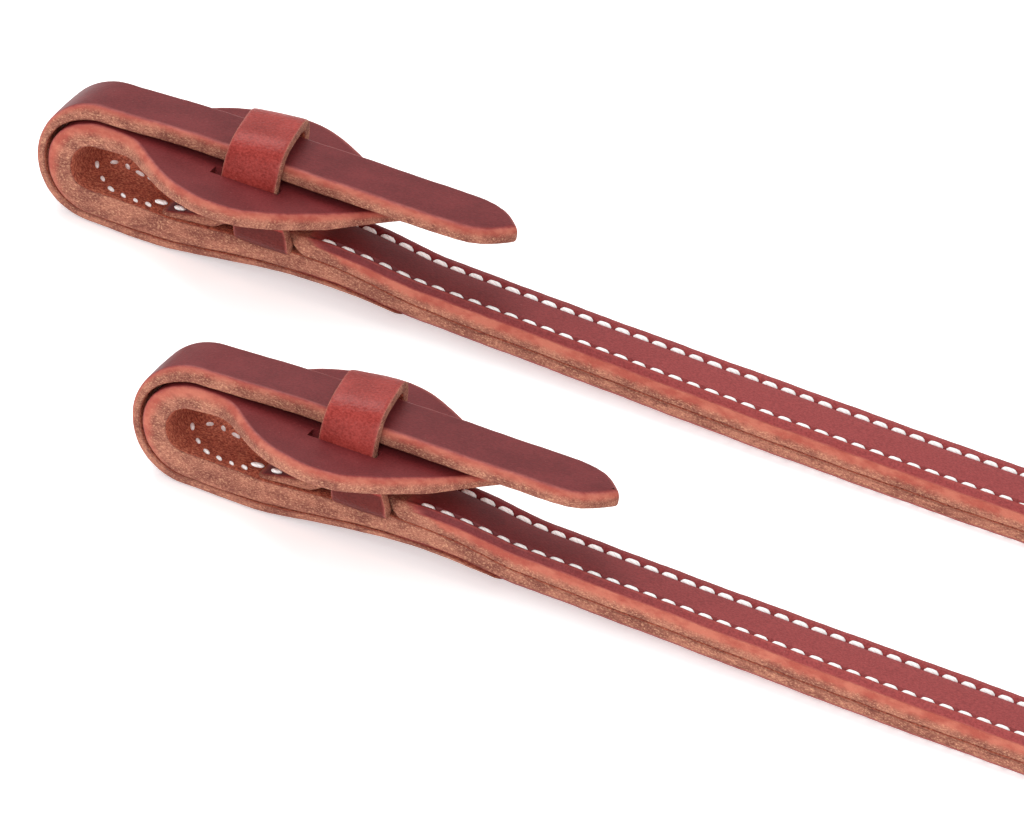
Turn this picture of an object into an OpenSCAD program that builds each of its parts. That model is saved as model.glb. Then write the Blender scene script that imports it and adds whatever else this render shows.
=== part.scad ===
// A pair of doubled-and-stitched leather split reins with water loop bit ends.
// Each rein is two plies sewn face to face. At the bit end the bottom ply turns back as a wide leaf,
// and a water strap wraps that loop and ends in a billet that tucks through a leather keeper.
// Millimetres, +Z up. Every rein is drawn along +X from the left end of its loop, centred on Y.

/* [Strap] */
// Width of the rein
strap_w = 16; // [14:0.5:20]
// Thickness of the bottom ply, which turns back as the leaf
bottom_t = 3.5; // [3:0.1:4]
// Thickness of the top ply
top_t = 4; // [3:0.1:4.5]
// Thickness of the water strap and its billet
water_t = 3.3; // [3:0.1:3.6]
// Distance between the middle lines of the two reins
pair_gap = 87; // [60:1:120]
// How far the near rein is shifted along its length
pair_shift = 58; // [0:1:90]

/* [Bit loop] */
// Inner radius of the eye that takes the bit ring
eye_r = 5.3; // [4.5:0.1:6]
// Half of the leaf's greatest width
leaf_half_w = 22.8; // [18:0.1:26]
// Width of the billet
billet_w = 14.4; // [12:0.1:15]
// Distance from the loop's left end to the billet's point
billet_reach = 96; // [90:1:100]
// Distance from the loop's left end to the join of billet and its free tip
tip_start = 58.5; // [57:0.5:64]

/* [Keeper] */
// Thickness of the keeper's leather
keeper_t = 1.8; // [1.2:0.1:1.9]
// Length of the keeper along the rein
keeper_len = 11.4; // [9:0.1:11.6]

/* [Stitching] */
// Distance from one stitch to the next
stitch_pitch = 3.85; // [3:0.05:5]
// Distance from the edge of the strap to a stitch row
stitch_inset = 2.6; // [2:0.1:3.5]

/* [Coil] */
// Radius of the outermost turn's seam
coil_r = 84; // [83:1:85]
// Radius of the innermost turn's seam
coil_inner_r = 47.5; // [40:0.5:60]
// Thickness of the tie laces
tie_t = 1.2; // [0.8:0.1:1.4]

/* [Hidden] */
$fn = 96;

bit_len = 104;                        // the sewn bit end, up to where the free strap starts
far_x = -(bit_len + pair_shift) / 2;  // left end of the far loop
near_x = far_x + pair_shift;          // left end of the near loop
clear = 0.3;                          // gap between pieces that move
past = 100;                           // a length that reaches past every bit end piece

// The bottom ply's bend stands on the water strap's lower run
ply_bend_r = eye_r + bottom_t;
ply_bend = [12.65, water_t + ply_bend_r];
eye_top = ply_bend[1] + eye_r;
leaf_top = eye_top + bottom_t;
// The water strap's bend is a little larger and leaves a dark gap over the leaf
water_bend_r = 12.65;
water_bend = [water_bend_r, water_bend_r];
billet_top = 2 * water_bend_r;
billet_under = billet_top - water_t;
// The bend of the water strap is a little narrower than the rein
bend_w = 13.8;

// Lower run: [distance, underside of the water strap, underside of the bottom ply]
runs = [[13, 0, 3.3], [24, 0, 3.3], [30, 0.3, 3.5], [36, 1.1, 4], [42, 2, 4.5], [48, 2.8, 4.9],
        [54, 3.4, 5.1], [60, 3.7, 5], [66, 3.7, 4.7], [72, 3.4, 4.1], [80, 3.1, 3.1]];
ply_under = concat([for (r = runs) [r[0], r[2]]], [[92, 2.7], [bit_len, 2.3]]);
function ply_top(x) = lookup(x, ply_under) + bottom_t;

// Leaf: [distance, half width as a share of the greatest]
leaf_plan = [[12.65, 0.35], [17, 0.35], [20, 0.4], [24, 0.57], [28, 0.74], [32, 0.86], [36, 0.94],
             [40, 0.99], [44, 1], [48, 0.97], [52, 0.88], [56, 0.76], [60, 0.61], [64, 0.45],
             [68, 0.27], [71.5, 0.12], [73.6, 0.04]];
leaf_point = 73.6;
leaf_skive = 62;        // the leaf thins from here to its point
leaf_point_t = 2;

// Keeper: it leans, its base lies right of its top
keeper_top_x = 38.2;
keeper_base_x = 42.1;
keeper_half_in = 7.8;
keeper_base_z = 8.65;
keeper_base_t = 1.3;
keeper_crown = 2.2;     // its arch stands clear of the billet
slit_x = [36.8, 52.8];

// Tongue of the top ply, which runs under the keeper into the loop
tongue_start = 27;
tongue_w = 14.4;
tongue_t = 1.9;
top_start = 54.6;

// Free strap, from the bit end to the coil: [x, y, height of the seam, tilt].
// It lies flat, turns on its edge and swings out to meet the coil. The far rein also climbs,
// because its coil is stacked on the near one.
near_route = [[104, 0, 5.8, 0], [130, 0, 5, 0], [156, 0, 4.3, 0], [182, 0, 3.8, 0],
              [192, 0, 3.7, 0], [202, 0, 4.1, 4], [214, 0.1, 5.9, 18], [226, 1.3, 7.8, 38],
              [238, 3.8, 8.8, 59], [250, 7.5, 9, 77], [262, 12.4, 9.2, 88], [274, 18.6, 9.2, 90],
              [286, 26.1, 9.2, 90]];
far_route = [[104, 0, 5.8, 0], [130, 0, 5, 0], [156, 0, 4.3, 0], [182, 0, 3.8, 0],
             [205, 0, 3.6, 0], [214, 0, 3.8, 1], [226, 0, 5.2, 12], [238, 0, 7.2, 28],
             [250, 0, 9, 48], [262, 0, 11.3, 68], [274, 0.2, 14.2, 83], [286, 1.6, 17.6, 90],
             [298, 4.3, 21, 90], [308, 7.5, 23.6, 90], [318, 11.5, 25.6, 90],
             [328, 16.4, 26.4, 90], [336, 21, 26.4, 90], [344, 26.1, 26.4, 90]];
coil_x = 310;                     // the coils share one axis, on the middle line of the pair
near_coil_z = tie_t;              // the near coil lies on its laces
far_coil_z = strap_w + 2 * tie_t; // the far one lies on the near one
tie_w = 8;                        // width of a tie lace
tie_angles = [30, 210];
ply_chamfer = 0.5;

// Places a rein; the near one is a mirror image, so that the two coils lie apart
module far_rein() {
    translate([far_x, pair_gap / 2, 0]) children();
}

module near_rein() {
    translate([near_x, -pair_gap / 2, 0]) mirror([0, 1, 0]) children();
}

// Extrudes an outline of length and height across the rein
module across(width) {
    translate([0, width / 2, 0]) rotate([90, 0, 0]) linear_extrude(width) children();
}

// A quarter or more of a bent strap, between two angles of at most 180 degrees
module bend(at, r_out, r_in, from, to, width) {
    across(width) translate(at) difference() {
        circle(r_out);
        circle(r_in);
        rotate(to) translate([-past, 0]) square([2 * past, past]);
        rotate(from) translate([-past, -past]) square([2 * past, past]);
    }
}

function mirrored(half) = concat([for (p = half) [p[0], -p[1]]],
                                 [for (i = [len(half) - 1 : -1 : 0]) half[i]]);

module water_strap() {
    color("#7d3a2c") {
        bend(water_bend, water_bend_r, water_bend_r - water_t, 180, 270, bend_w);
        across(bend_w) polygon(concat(
            [[water_bend[0], 0]],
            [for (r = runs) [r[0], r[1]]],
            [for (i = [len(runs) - 2 : -1 : 0]) [runs[i][0], runs[i][2]]],
            [[water_bend[0], water_t]]));
    }
}

module billet() {
    color("#6e2a26") {
        intersection() {
            bend(water_bend, water_bend_r, water_bend_r - water_t, 90, 180, bend_w);
            translate([-past / 2, -past / 2, water_bend[1] + clear]) cube(past);
        }
        translate([0, 0, billet_under]) linear_extrude(water_t) polygon(mirrored(
            [[water_bend[0], bend_w / 2], [30, bend_w / 2], [45, billet_w / 2],
             [tip_start, billet_w / 2]]));
    }
}

module billet_tip() {
    half = billet_w / 2;
    color("#6e2a26")
        translate([0, 0, billet_under]) linear_extrude(water_t) polygon(mirrored(
            [[tip_start + clear, half], [billet_reach - 9, half], [billet_reach - 5, half * 0.85],
             [billet_reach - 2, half * 0.5], [billet_reach - 0.4, half * 0.2],
             [billet_reach, 0.5]]));
}

module bottom_ply() {
    color("#7d3a2c") {
        bend(ply_bend, ply_bend_r, eye_r, 90, 270, strap_w);
        across(strap_w) polygon(concat(
            [[ply_bend[0], water_t]],
            ply_under,
            [for (i = [len(ply_under) - 1 : -1 : 0]) ply_under[i] + [0, bottom_t]],
            [[ply_bend[0], water_t + bottom_t]]));
    }
}

module leaf() {
    start = ply_bend[0] + clear;
    color("#642422") difference() {
        translate([0, 0, eye_top]) linear_extrude(bottom_t) polygon(mirrored(
            [for (p = leaf_plan) [max(p[0], start), p[1] * leaf_half_w]]));
        for (side = [-1, 1])
            translate([slit_x[0], side * (keeper_half_in + keeper_t / 2) - keeper_t / 2 - clear,
                       eye_top - 1])
                cube([slit_x[1] - slit_x[0], keeper_t + 2 * clear, bottom_t + 2]);
        across(past) polygon([[leaf_skive, eye_top], [leaf_point + 1, eye_top - 1],
                                  [leaf_point + 1, leaf_top - leaf_point_t]]);
    }
}

module top_ply() {
    over_keeper = keeper_base_z + keeper_base_t + 0.05;
    color("#642422") {
        // Tongue: it lies on the bottom ply, then steps up over the keeper's base
        across(tongue_w) polygon([
            [tongue_start, ply_top(tongue_start)],
            [30, ply_top(30)], [36, ply_top(36)], [40, ply_top(40)],
            [keeper_base_x - 0.3, over_keeper], [top_start, over_keeper],
            [top_start, over_keeper + tongue_t], [keeper_base_x - 2, over_keeper + tongue_t],
            [36, ply_top(36) + tongue_t], [30, ply_top(30) + tongue_t],
            [tongue_start + 1, ply_top(28) + tongue_t * 0.8]]);
        across(strap_w) polygon(concat(
            [for (p = ply_under) if (p[0] > top_start) p + [0, bottom_t]],
            [for (i = [len(ply_under) - 1 : -1 : 0]) if (ply_under[i][0] > top_start)
                ply_under[i] + [0, bottom_t + top_t]],
            [[top_start, ply_top(top_start) + top_t - 0.4], [top_start, ply_top(top_start)]]));
    }
}

module keeper() {
    round_in = 3.6;
    round_out = round_in + keeper_t;
    half_out = keeper_half_in + keeper_t;
    top_in = billet_top + keeper_crown;
    color("#8c2f26") intersection() {
        rotate([90, 0, 90]) linear_extrude(past) difference() {
            arch(half_out, keeper_base_z, top_in + keeper_t, round_out);
            arch(keeper_half_in, keeper_base_z + keeper_base_t, top_in, round_in);
        }
        across(past) polygon([
            [keeper_base_x, 0], [keeper_base_x + keeper_len, 0],
            [keeper_base_x + keeper_len, 11], [keeper_top_x + keeper_len, 20.5],
            [keeper_top_x + keeper_len, 40], [keeper_top_x, 40],
            [keeper_top_x, 20.5], [keeper_base_x, 11]]);
    }
}

// A box outline, flat below and rounded at its two upper corners
module arch(half, low, high, r) {
    translate([-half, low]) square([2 * half, high - low - r]);
    translate([r - half, low]) square([2 * (half - r), high - low]);
    for (side = [-1, 1]) translate([side * (half - r), high - r]) circle(r);
}

// One stitch, a short rounded bar that lies along the row
module stitch(x, y, z, turn = 0) {
    translate([x, y, z]) rotate([0, 0, turn]) translate([-1.5, -0.5, 0]) cube([3, 1, 0.6]);
}

module stitching() {
    row = strap_w / 2 - stitch_inset;
    on_flesh = ply_top(20) + 0.1;
    on_top = bottom_t + top_t + 0.2;
    color("#f4f0ea") {
        // Two rows along the sewn plies
        for (i = [0 : floor((bit_len - 58) / stitch_pitch)], side = [-1, 1]) {
            x = 57.5 + i * stitch_pitch;
            stitch(x, side * row, lookup(x, ply_under) + on_top);
        }
        // Two rows inside the loop, on the flesh side of the bottom ply
        for (i = [0 : 1], side = [-1, 1]) stitch(19.4 + i * stitch_pitch, side * row, on_flesh);
    }
}

// One ply of the free strap, swept along its route; low and high are measured from the seam.
// The faces of the two plies are split along the same diagonals, so that they meet at the seam.
module swept_ply(route, low, high) {
    half = strap_w / 2;
    c = ply_chamfer;
    section = [[c - half, low], [half - c, low], [half, low + c], [half, high - c],
               [half - c, high], [c - half, high], [-half, high - c], [-half, low + c]];
    n = len(section);
    last = len(route) - 1;
    function heading(i) = let (a = route[max(i - 1, 0)], b = route[min(i + 1, last)])
        atan2(b[1] - a[1], b[0] - a[0]);
    function ring(i) = let (p = route[i], h = heading(i), t = p[3],
        side = [-sin(h), cos(h), 0], up = [0, 0, 1],
        wide = side * cos(t) - up * sin(t), thick = up * cos(t) + side * sin(t))
        [for (s = section) [p[0], p[1], p[2]] + wide * s[0] + thick * s[1]];
    function halves(a, d) = low < 0
        ? [[a, a + n, d + n], [a, d + n, d]]
        : [[a, a + n, d], [a + n, d + n, d]];
    polyhedron(
        points = [for (i = [0 : last]) each ring(i)],
        faces = concat(
            [[for (j = [0 : n - 1]) j]],
            [for (i = [0 : last - 1], j = [0 : n - 1], t = halves(i * n + j, i * n + (j + 1) % n))
                t],
            [[for (j = [n - 1 : -1 : 0]) last * n + j]]));
}

module bottom_strap(route) {
    color("#7d3a2c") swept_ply(route, -bottom_t, 0);
}

module top_strap(route) {
    color("#642422") swept_ply(route, 0, top_t);
}

// The wound length of both plies; left is the rein's own left end, lift its lowest point
module coil(left, lift) {
    color("#7d3a2c") translate([coil_x - left, -pair_gap / 2, lift]) rotate_extrude()
        translate([coil_inner_r - bottom_t, 0])
            square([coil_r + top_t - coil_inner_r + bottom_t, strap_w]);
}

module ties(left, lift) {
    inner = coil_inner_r - bottom_t - 0.4;
    outer = coil_r + top_t + 0.4;
    color("#4a2420") for (a = tie_angles)
        translate([coil_x - left, -pair_gap / 2, lift - tie_t]) rotate(a) difference() {
            translate([inner - tie_t, -tie_w / 2, 0])
                cube([outer - inner + 2 * tie_t, tie_w, strap_w + 2 * tie_t]);
            translate([inner, -tie_w, tie_t]) cube([outer - inner, 2 * tie_w, strap_w]);
        }
}

far_rein() water_strap();  // far_water_strap
far_rein() billet();  // far_billet
far_rein() billet_tip();  // far_billet_tip
far_rein() bottom_ply();  // far_bottom_ply
far_rein() leaf();  // far_leaf
far_rein() top_ply();  // far_top_ply
far_rein() keeper();  // far_keeper
far_rein() stitching();  // far_stitching
far_rein() bottom_strap(far_route);  // far_bottom_strap
far_rein() top_strap(far_route);  // far_top_strap
far_rein() coil(far_x, far_coil_z);  // far_coil
far_rein() ties(far_x, far_coil_z);  // far_ties
near_rein() water_strap();  // near_water_strap
near_rein() billet();  // near_billet
near_rein() billet_tip();  // near_billet_tip
near_rein() bottom_ply();  // near_bottom_ply
near_rein() leaf();  // near_leaf
near_rein() top_ply();  // near_top_ply
near_rein() keeper();  // near_keeper
near_rein() stitching();  // near_stitching
near_rein() bottom_strap(near_route);  // near_bottom_strap
near_rein() top_strap(near_route);  // near_top_strap
near_rein() coil(near_x, near_coil_z);  // near_coil
near_rein() ties(near_x, near_coil_z);  // near_ties
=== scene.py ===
import math

import bmesh
import bpy
import numpy as np
from mathutils import Matrix, Vector


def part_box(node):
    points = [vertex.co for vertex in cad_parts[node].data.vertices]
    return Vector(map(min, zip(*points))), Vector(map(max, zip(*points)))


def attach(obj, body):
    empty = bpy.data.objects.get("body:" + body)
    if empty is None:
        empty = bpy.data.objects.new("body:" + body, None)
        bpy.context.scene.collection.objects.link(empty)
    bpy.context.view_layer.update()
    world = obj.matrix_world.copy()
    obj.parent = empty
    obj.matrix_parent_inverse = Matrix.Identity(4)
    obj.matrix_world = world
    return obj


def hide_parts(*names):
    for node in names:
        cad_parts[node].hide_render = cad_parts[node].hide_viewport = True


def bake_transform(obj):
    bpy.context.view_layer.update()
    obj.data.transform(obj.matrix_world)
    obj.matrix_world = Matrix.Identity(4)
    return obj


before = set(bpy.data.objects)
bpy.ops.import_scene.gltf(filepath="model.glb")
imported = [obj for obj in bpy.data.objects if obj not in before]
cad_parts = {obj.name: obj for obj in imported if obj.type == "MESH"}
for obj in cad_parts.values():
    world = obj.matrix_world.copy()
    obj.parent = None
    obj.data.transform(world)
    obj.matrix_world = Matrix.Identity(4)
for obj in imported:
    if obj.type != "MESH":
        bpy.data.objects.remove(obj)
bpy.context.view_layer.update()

# A pair of doubled and stitched split reins with water loop bit ends.

# ---------------------------------------------------------------- camera
# A long lens looks down the pair from the front right, so that both bit ends lie side by side
# and the straps leave the view at its right edge.
VIEW_RIGHT = Vector((0.9082, 0.3864, 0.1605))
VIEW_UP = Vector((-0.3110, 0.3672, 0.8765))
VIEW_WIDTH = 0.1943
LOOK_AT = Vector((0.0280, 0.0204, 0.0))
LENS = 1200.0
SENSOR = 36.0
CLIP_END = 60



def new_object(name, data):
    """Puts an object in the scene."""
    made = bpy.data.objects.new(name, data)
    bpy.context.scene.collection.objects.link(made)
    return made


right = VIEW_RIGHT.normalized()
back = right.cross(VIEW_UP).normalized()
up = back.cross(right)
camera_data = bpy.data.cameras.new("camera")
camera_data.lens = LENS
camera_data.sensor_width = SENSOR
camera_data.clip_end = CLIP_END
camera = new_object("camera", camera_data)
camera.matrix_world = Matrix.Translation(LOOK_AT + back * (VIEW_WIDTH * LENS / SENSOR)) @ Matrix(
    (right, up, back)).transposed().to_4x4()
bpy.context.scene.camera = camera

# ---------------------------------------------------------------- free straps
# Behind each bit end the two plies run on as one sewn strap to the far end. It lies flat, turns on
# its edge and is rolled up; the far rein's coil is stacked on the near one's. Lengths are in
# millimetres, measured from the left end of each rein's loop.
MM = 0.001
REINS = ("near", "far")
# Each rein is drawn in a measure of its own; this is the side of it that faces the front
FRONT_OF = {"near": 1, "far": -1}
BOTTOM_T = 3.5
TOP_T = 4.0
REIN_LENGTH = 2130.0
BIT_LEN = 104.0
COIL_R = 84.0
COIL_PITCH = 8.2
COIL_STEP = 0.05
STITCH_PITCH = 3.85
STITCH_INSET = 2.65
FIRST_STITCH = 61.35
# Seam between the plies under the bit end: [distance, height]
SEAM = [(13, 6.8), (24, 6.8), (30, 7), (36, 7.5), (42, 8), (48, 8.4), (54, 8.6), (60, 8.5),
        (66, 8.2), (72, 7.6), (80, 6.6), (92, 6.2)]
# Free strap: [x, y, height of the seam, tilt in degrees]
ROUTES = {
    "near": [(104, 0, 5.8, 0), (130, 0, 5, 0), (156, 0, 4.3, 0), (182, 0, 3.8, 0),
             (192, 0, 3.7, 0), (202, 0, 4.1, 4), (214, 0.1, 5.9, 18), (226, 1.3, 7.8, 38),
             (238, 3.8, 8.8, 59), (250, 7.5, 9, 77), (262, 12.4, 9.2, 88),
             (274, 18.6, 9.2, 90), (286, 26.1, 9.2, 90)],
    "far": [(104, 0, 5.8, 0), (130, 0, 5, 0), (156, 0, 4.3, 0), (182, 0, 3.8, 0),
            (205, 0, 3.6, 0), (214, 0, 3.8, 1), (226, 0, 5.2, 12), (238, 0, 7.2, 28),
            (250, 0, 9, 48), (262, 0, 11.3, 68), (274, 0.2, 14.2, 83), (286, 1.6, 17.6, 90),
            (298, 4.3, 21, 90), (308, 7.5, 23.6, 90), (318, 11.5, 25.6, 90),
            (328, 16.4, 26.4, 90), (336, 21, 26.4, 90), (344, 26.1, 26.4, 90)]}


def place(rein, points):
    """Points of one rein, in millimetres from its left end, as frame coordinates in metres."""
    leaf_low, leaf_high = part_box(rein + "_leaf")
    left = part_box(rein + "_water_strap")[0].x
    points = np.array(points, float) * MM
    points[..., 1] *= -FRONT_OF[rein]
    return points + np.array([left, (leaf_low.y + leaf_high.y) / 2, 0])


def place_one(rein, x, y, z):
    return Vector(place(rein, [(x, y, z)])[0])


def smooth_line(knots, step):
    """A Catmull-Rom curve through knots, sampled about every step along its first coordinates."""
    k = np.array(knots, float)
    k = np.vstack([2 * k[0] - k[1], k, 2 * k[-1] - k[-2]])
    rows = []
    for a, b, c, d in zip(k[:-3], k[1:-2], k[2:-1], k[3:]):
        count = max(2, int(np.linalg.norm((c - b)[:2]) / step))
        t = np.arange(count)[:, None] / count
        rows.append(0.5 * (2 * b + (c - a) * t + (2 * a - 5 * b + 4 * c - d) * t ** 2
                           + (3 * b - a - 3 * c + d) * t ** 3))
    return np.vstack(rows + [k[-2][None]])


class Path:
    """A line of points with its length so far, and the directions across and out of a strap."""

    def __init__(self, points, wide, out, start=0.0):
        self.points, self.wide, self.out = points, wide, out
        steps = np.linalg.norm(np.diff(points, axis=0), axis=1)
        self.length = start + np.concatenate([[0], np.cumsum(steps)])

    def at(self, s):
        """Point, direction across and direction outwards at each length in s."""
        point, wide, out = [np.stack([np.interp(s, self.length, a[:, i]) for i in range(3)], -1)
                            for a in (self.points, self.wide, self.out)]
        return point, unit(wide), unit(out)


def unit(rows):
    return rows / np.linalg.norm(rows, axis=-1, keepdims=True)


def coil_middle(rein):
    """Where the axis of a rein's coil stands, in the rein's own measure."""
    low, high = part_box(rein + "_coil")
    middle, origin = (low + high) / 2, place_one(rein, 0, 0, 0)
    return (middle.x - origin.x) / MM, (middle.y - origin.y) * -FRONT_OF[rein] / MM


def seam_path(rein):
    """The seam of one whole rein, from the loop to its far end inside the coil."""
    run = smooth_line([(x, 0, z, 0) for x, z in SEAM] + ROUTES[rein], 1.0)
    cx, cy = coil_middle(rein)
    angle = math.atan2(run[-1][1] - cy, run[-1][0] - cx)
    left = REIN_LENGTH - SEAM[0][0] - np.linalg.norm(np.diff(run[:, :3], axis=0), axis=1).sum()
    radius, turn = COIL_R, []
    while left > 0:
        angle -= COIL_STEP
        radius -= COIL_PITCH * COIL_STEP / (2 * math.pi)
        left -= radius * COIL_STEP
        turn.append((cx + radius * math.cos(angle), cy + radius * math.sin(angle),
                     run[-1][2], 90))
    line = np.vstack([run, np.array(turn)])
    points, tilt = line[:, :3], np.radians(line[:, 3])[:, None]
    ahead = unit(np.gradient(points, axis=0))
    side = unit(np.cross([0, 0, 1], ahead))
    above = np.cross(ahead, side)
    wide = side * np.cos(tilt) - above * np.sin(tilt)
    out = above * np.cos(tilt) + side * np.sin(tilt)
    return Path(points, wide, out, SEAM[0][0])


# Strap cross-section, from the middle of the flesh side round one edge to the middle of the grain
# side: (inset from the edge, up from the flesh, down from the grain, edge, groove)
MIDDLE = 99
PROFILE = [(MIDDLE, 0, None, 0, 0), (3.2, 0, None, 0, 0), (0.45, 0, None, 0.35, 0),
           (0.12, 0.18, None, 0.9, 0), (0, 0.5, None, 1, 0), (-0.06, None, 2.1, 1, 0),
           (0, None, 1.5, 1, 0), (0.1, None, 1.0, 1, 0), (0.26, None, 0.6, 0.9, 0),
           (0.5, None, 0.22, 0.7, 0), (0.85, None, 0, 0.45, -0.12), (1.25, None, 0, 0.22, -0.22),
           (1.65, None, 0, 0.05, -0.1), (2.05, None, 0, 0, 0.55), (2.45, None, 0, 0, 0.95),
           (2.85, None, 0, 0, 0.95), (3.25, None, 0, 0, 0.55), (3.65, None, 0, 0, 0),
           (4.6, None, 0, 0, -0.06), (MIDDLE, None, 0, 0, -0.06)]
BEVEL_INSET = 1.5
BEVEL_DROP = 1.6
# Thickness from which the edge is rounded in full, and half widths from which it wavers in full
# and the grooves lie at their full inset
FULL_T = 2.6
WAVERS_FROM = 6
FULL_FROM = 5
GROOVE_DEPTH = 1.05
ROW_SHIFT = 1.05
# Share of the cut edge's colour that the grain takes over beside a groove, and how far down
SHOULDER = 0.8
SHOULDER_DROP = 1.0
HOLE_DEPTH = 0.6
CROWN = 0.16
WOBBLE = 0.07
CURL_FROM = 3.5
CURL_WIDE = 4.5
SHARP_DEGREES = 48
# What a strap's material reads on each point, and what it is where a knife went through
# A knife cut's faces get a low painted edge light, so they are painted as in shade
CUT_FACTS = {"edge": 1.0, "depth": 0.6, "groove": 0.0, "along": 0.0, "painted_edge_light": 0.3}


def wobble(s, seed):
    """The slight waviness of a hand-cut edge."""
    return WOBBLE * (np.sin(0.31 * s + seed) + 0.6 * np.sin(0.83 * s + 2.1 * seed)
                     + 0.35 * np.sin(2.3 * s + 3.7 * seed))


def curled(w):
    """How much of the curl there is at a distance from the middle line."""
    return np.clip((w - CURL_FROM) / CURL_WIDE, 0, 1) ** 1.5


def steady(value):
    """The same value at every length along a strap."""
    return lambda s: np.full(len(s), float(value))


def write_facts(mesh, facts):
    """Writes numbers on the points of a mesh, for a material or a node tree to read."""
    for key, values in facts.items():
        layer = mesh.attributes.new(key, "FLOAT", "POINT")
        layer.data.foreach_set("value", np.asarray(values, np.float32).reshape(-1))


def finish_mesh(mesh):
    """Merges doubled points, turns every face outwards and keeps hard corners hard."""
    work = bmesh.new()
    work.from_mesh(mesh)
    bmesh.ops.remove_doubles(work, verts=work.verts, dist=2e-6)
    bmesh.ops.dissolve_degenerate(work, edges=work.edges, dist=1e-7)
    bmesh.ops.recalc_face_normals(work, faces=work.faces)
    work.to_mesh(mesh)
    work.free()
    mesh.polygons.foreach_set("use_smooth", [True] * len(mesh.polygons))
    mesh.set_sharp_from_angle(angle=math.radians(SHARP_DEGREES))
    return mesh


def wrapped_mesh(name, rein, coords, facts, is_ring=False):
    """A closed mesh through rows of points, each row once round a strap. A ring's last row joins
    its first one; otherwise both ends are capped."""
    rows = np.arange(coords.shape[0] * coords.shape[1]).reshape(coords.shape[:2])
    caps = [] if is_ring else [rows[0].tolist(), rows[-1][::-1].tolist()]
    if is_ring:
        rows = np.vstack([rows, rows[:1]])
    beside = np.roll(rows, -1, axis=1)
    faces = np.stack([rows[:-1], rows[1:], beside[1:], beside[:-1]], -1).reshape(-1, 4).tolist()
    mesh = bpy.data.meshes.new(name)
    mesh.from_pydata(place(rein, coords).reshape(-1, 3), [], faces + caps)
    write_facts(mesh, facts)
    return finish_mesh(mesh)


def strap_mesh(name, rein, path, outline, thick, flesh=steady(0), groove=steady(0),
               hole=steady(0), raw_end=steady(0), bevel=steady(1), painted_edge_light=steady(1),
               curl=steady(0), curl_side=1, row_side=0, open_ends=(0, 0), seed=0.0):
    """A closed leather strap. outline is a line of (length along, half width) that starts and ends
    on the middle line, or at an open end where another piece goes on. Each of the next is worked
    out from the length along: thick and flesh are the heights of the grain and flesh sides, groove
    and hole the depths of the stitch grooves and awl holes, raw_end where the grain is cut away,
    bevel how much of the edge's rounding is left, painted_edge_light how brightly the cut edge is
    painted as if lit (low values paint it in shade, in plainer and darker browns), and curl
    how far the flesh hangs down along the edge on curl_side. The grooves lie nearer row_side."""
    s, h = outline[:, 0], outline[:, 1]
    turn = np.gradient(outline, axis=0)
    turn /= np.maximum(np.linalg.norm(turn, axis=1, keepdims=True), 1e-9)
    out_s, out_h = -turn[:, 1], turn[:, 0]
    for end, is_open in zip((0, -1), open_ends):
        if is_open:
            out_s[end], out_h[end] = 0, 1
    count = len(s)
    columns = [(1, p) for p in PROFILE] + [(-1, p) for p in PROFILE[-2:0:-1]]
    coords = np.zeros((count, len(columns), 3))
    facts = {k: np.zeros((count, len(columns))) for k in CUT_FACTS}
    for c, (side, (inset, rise, drop, edge, in_groove)) in enumerate(columns):
        d = min(inset, BEVEL_INSET)
        at_s = s - d * out_s
        w = np.maximum(h - d * out_h, 0)
        whole = np.minimum(1, w / FULL_FROM)
        w = w - np.minimum((inset - d) * whole, w)
        w = w + wobble(s, seed + side) * (inset <= BEVEL_INSET) * np.minimum(1, h / WAVERS_FROM)
        top, low = thick(at_s), flesh(at_s)
        scale = np.clip((top - low) / FULL_T, 0.12, 1)
        depth_here = groove(at_s) * in_groove
        holes = hole(at_s) * max(in_groove, 0)
        shoulder = 0
        if drop is None:
            level = low + rise * scale
            if side == curl_side:
                level = level - curl(at_s) * curled(w)
        else:
            if inset < MIDDLE:
                w = w + side * row_side * ROW_SHIFT * np.clip((inset - 0.5) / 2.1, 0, 1) * whole
            level = top - drop * scale * (bevel(at_s) if drop < BEVEL_DROP else 1)
            level = level - depth_here * GROOVE_DEPTH - holes * HOLE_DEPTH * depth_here
            level = level + CROWN * ((1 - (w / np.maximum(h, 1)) ** 2) * (inset > 0.9) - 0.4)
            if 0 < drop <= SHOULDER_DROP:
                shoulder = SHOULDER * np.clip(groove(at_s), 0, 1)
        point, wide, out = path.at(at_s)
        coords[:, c] = point + wide * (side * w)[:, None] + out * level[:, None]
        facts["edge"][:, c] = np.maximum(edge * (1 - shoulder), raw_end(at_s))
        facts["depth"][:, c] = np.clip((top - level) / np.maximum(top - low, 0.1), 0, 1)
        # groove carries painted shade for the material: darkest in the awl holes, a little along the
        # grooves
        facts["groove"][:, c] = holes + 0.35 * np.maximum(depth_here, 0)
        facts["along"][:, c] = at_s
        # Painted light of the cut edge: high where it is painted lit, low for painted shade
        facts["painted_edge_light"][:, c] = painted_edge_light(at_s)
    return wrapped_mesh(name, rein, coords, facts)


def add_piece(name, mesh, material, body=None, replaces=()):
    """Puts a mesh in the scene as a piece of the object."""
    piece = new_object(name, mesh)
    if material:
        mesh.materials.clear()
        mesh.materials.append(material)
    if body:
        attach(piece, body)
    if replaces:
        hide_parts(*replaces)
    return piece


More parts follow.
